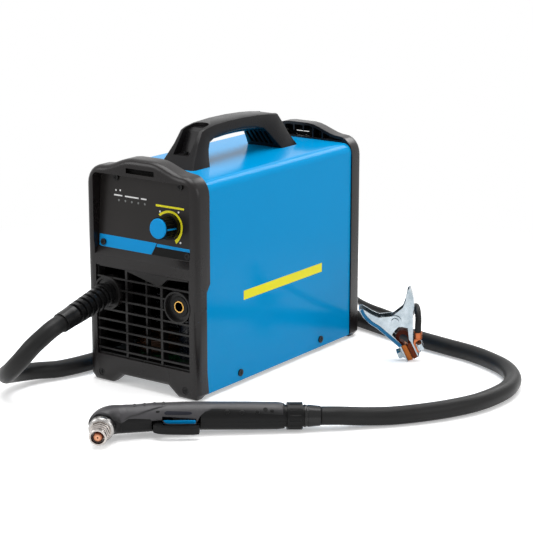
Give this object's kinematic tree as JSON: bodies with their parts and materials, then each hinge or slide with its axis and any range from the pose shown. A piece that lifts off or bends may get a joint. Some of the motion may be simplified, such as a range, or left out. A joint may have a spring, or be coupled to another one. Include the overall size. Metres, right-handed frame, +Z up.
{
  "type": "plasma cutter",
  "caption": "Compact inverter plasma cutter: blue steel cover between black moulded bezels, carry handle, hand torch on its lead, and spring earth clamp on a work lead.",
  "frame": {"origin": "centre of the footprint of the set (unit, torch and clamp, without the leads), on the floor", "axes": "-Y is the unit's front, +X its right side seen from the front, +Z up"},
  "size_m": [0.4441, 0.5967, 0.2488],
  "materials": {
    "bezel": "fine grain",
    "cover_paint": "gloss",
    "tray": "zinc plated",
    "rear_sheet": "satin",
    "black_screw": "black oxide",
    "black_plastic": "satin",
    "torch_shell": "satin",
    "blue_plastic": "gloss",
    "red_plastic": "gloss",
    "rubber": "matt",
    "plug": "satin with a brass pin",
    "brass": "turned",
    "copper": "worn copper",
    "braid": "oxidised copper braid",
    "bright_steel": "bright zinc",
    "board": "solder mask",
    "aluminium": "extruded",
    "winding": "varnished windings",
    "sleeve": "shrink sleeve"
  },
  "bodies": {
    "unit": {"front_bezel": "bezel", "front_grille": "bezel", "control_panel": "bezel", "panel_screws": "black_screw", "potentiometer": "aluminium", "control_board": "board", "socket_insulator": "black_plastic", "socket_insert": "brass", "torch_strain_relief": "rubber", "cover": "cover_paint", "base_tray": "tray", "cover_screws": "black_screw", "bezel_screws": "black_screw", "carry_handle": "bezel", "handle_screws": "black_screw", "rear_bezel": "bezel", "rear_panel": "rear_sheet", "rear_panel_screws": "black_screw", "fan_frame": "black_plastic", "power_switch": "black_plastic", "mains_gland": "black_plastic", "air_inlet": "brass", "air_valve": "aluminium", "main_board": "board", "heatsinks": "aluminium", "main_transformer": "winding", "output_choke": "winding", "capacitors": "sleeve", "torch_shell_upper": "torch_shell", "torch_shell_lower": "torch_shell", "torch_head": "black_plastic", "shield_cup": "bright_steel", "standoff_guide": "bright_steel", "nozzle_tip": "copper", "electrode": "copper", "trigger_pin": "bright_steel", "trigger_switch": "red_plastic", "torch_ring_nut": "black_plastic", "torch_boot": "rubber", "torch_lead": "rubber", "clamp_arm_fixed": "bright_steel", "clamp_pin": "bright_steel", "clamp_spring": "bright_steel", "clamp_jaw_fixed": "copper", "clamp_bolt_fixed": "bright_steel", "clamp_braid": "braid", "cable_lug": "copper", "work_lead": "rubber", "work_lead_coil": "rubber", "earth_plug": "plug"},
    "knob": {"knob": "black_plastic", "knob_cap": "blue_plastic", "potentiometer_shaft": "bright_steel"},
    "rocker": {"power_rocker": "red_plastic"},
    "fan": {"fan_rotor": "black_plastic"},
    "trigger": {"torch_trigger": "black_plastic", "trigger_key": "blue_plastic"},
    "clamp_arm": {"clamp_arm_moving": "bright_steel", "clamp_jaw_moving": "copper", "clamp_bolt_moving": "bright_steel"}
  },
  "joints": [
    {"name": "knob_turn", "type": "hinge", "parent": "unit", "child": "knob", "pos_m": [-0.041, -0.05701, 0.1646], "axis": [0, -0.9962, 0.0872], "range_deg": [-65, 205]},
    {"name": "rocker_press", "type": "hinge", "parent": "unit", "child": "rocker", "pos_m": [-0.0978, 0.1999, 0.172], "axis": [-1, 0, 0], "range_deg": [0, 12]},
    {"name": "fan_spin", "type": "hinge", "parent": "unit", "child": "fan", "pos_m": [-0.0698, 0.1763, 0.068], "axis": [0, 1, 0], "continuous": true},
    {"name": "trigger_press", "type": "hinge", "parent": "unit", "child": "trigger", "pos_m": [0.0254, -0.1619, 0.01436], "axis": [0.1064, -0.0927, 0.99], "range_deg": [0, 5], "stiffness_Nm_per_rad": 0.8, "springref_deg": -2.86},
    {"name": "clamp_squeeze", "type": "hinge", "parent": "unit", "child": "clamp_arm", "pos_m": [0.07818, 0.15591, 0.04418], "axis": [-0.4948, 0.8604, 0.1219], "range_deg": [0, 20], "stiffness_Nm_per_rad": 3, "springref_deg": -17.19}
  ]
}
